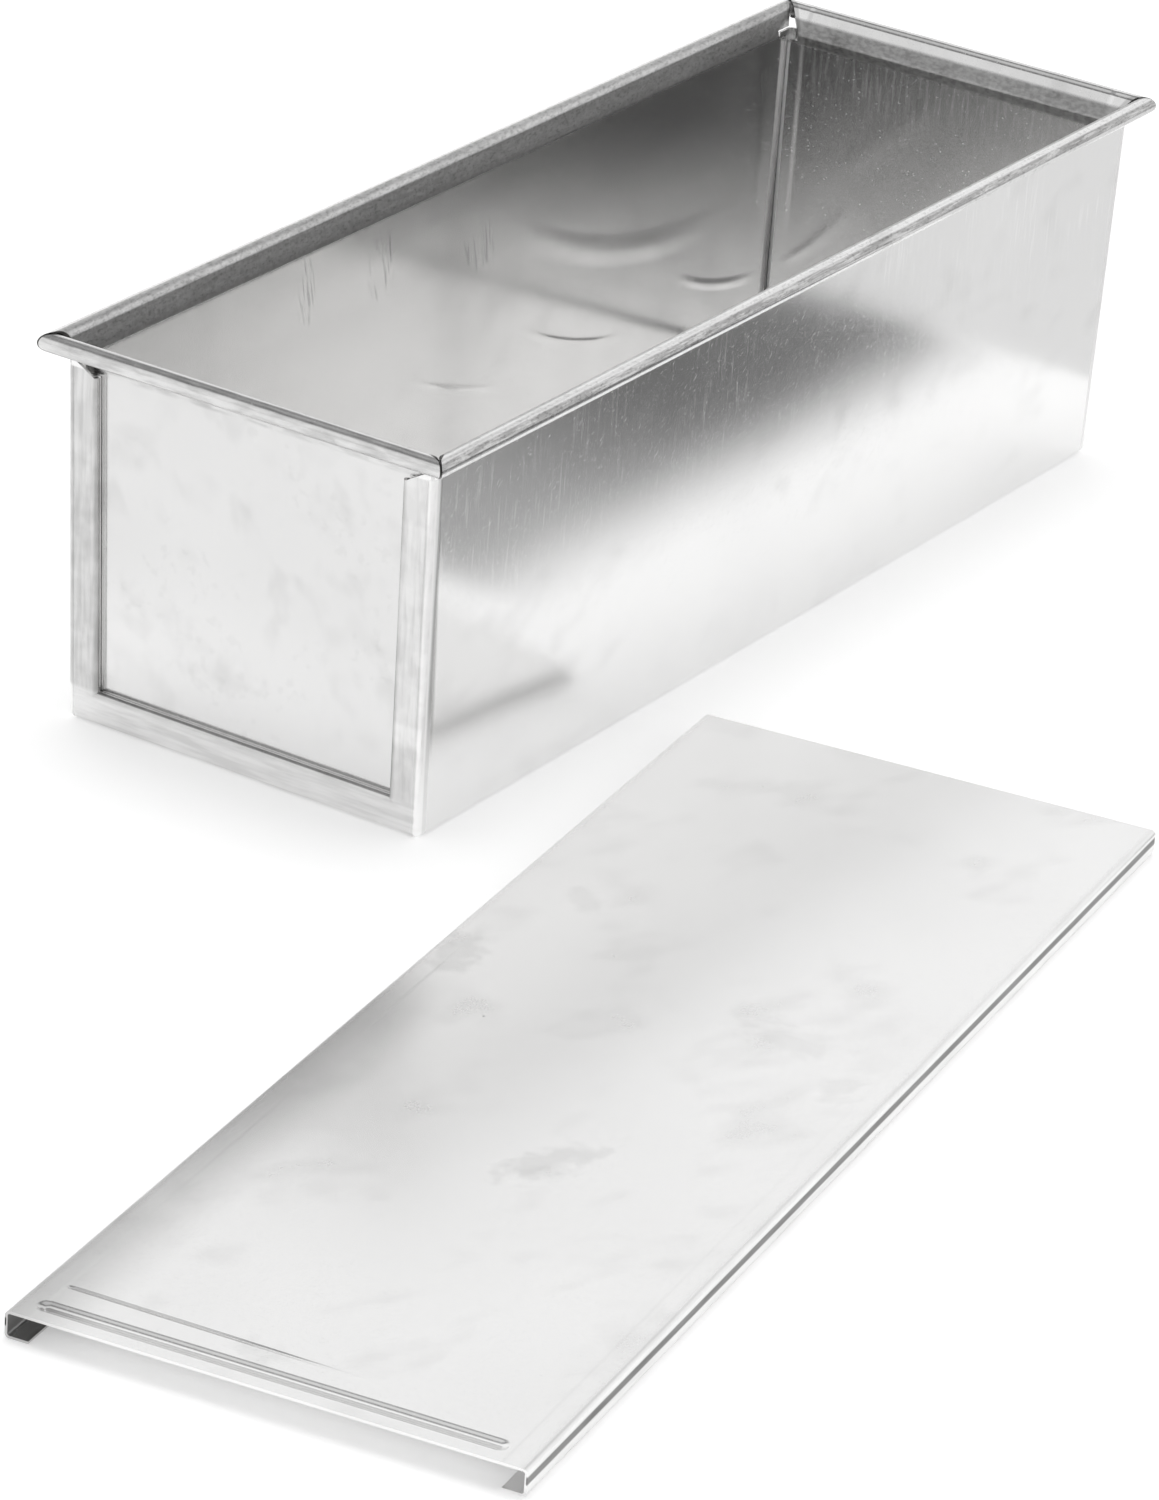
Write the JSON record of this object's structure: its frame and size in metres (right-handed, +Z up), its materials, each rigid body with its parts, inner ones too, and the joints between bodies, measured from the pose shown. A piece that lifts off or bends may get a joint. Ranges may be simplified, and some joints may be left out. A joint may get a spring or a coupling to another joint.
{
  "type": "pullman loaf pan with sliding lid",
  "caption": "Long straight-sided loaf pan folded from tinplate, with wired rolled rim and lock-seamed end panels; its flat channelled slide-on lid lies beside it.",
  "frame": {"origin": "middle of the pan's underside, on the table", "axes": "+X along the pan from the end nearer the camera to the far end, +Y across the pan away from the lid, +Z up"},
  "size_m": [0.5355, 0.2784, 0.0952],
  "materials": {
    "tinplate": "bright semi-gloss tinplate with light smudges and handling scratches",
    "lid_tinplate": "bright semi-gloss tinplate with light smudges",
    "steel_wire": "dull drawn steel wire"
  },
  "bodies": {
    "pan": {"pan_trough": "tinplate", "near_end_panel": "tinplate", "far_end_panel": "tinplate", "rim_wire": "steel_wire"},
    "lid": {"lid_sheet": "lid_tinplate"}
  },
  "joints": [
    {"name": "lid_lift", "type": "slide", "parent": "pan", "child": "lid", "axis": [0, 0, 1], "range_m": [0, 0.15]}
  ]
}
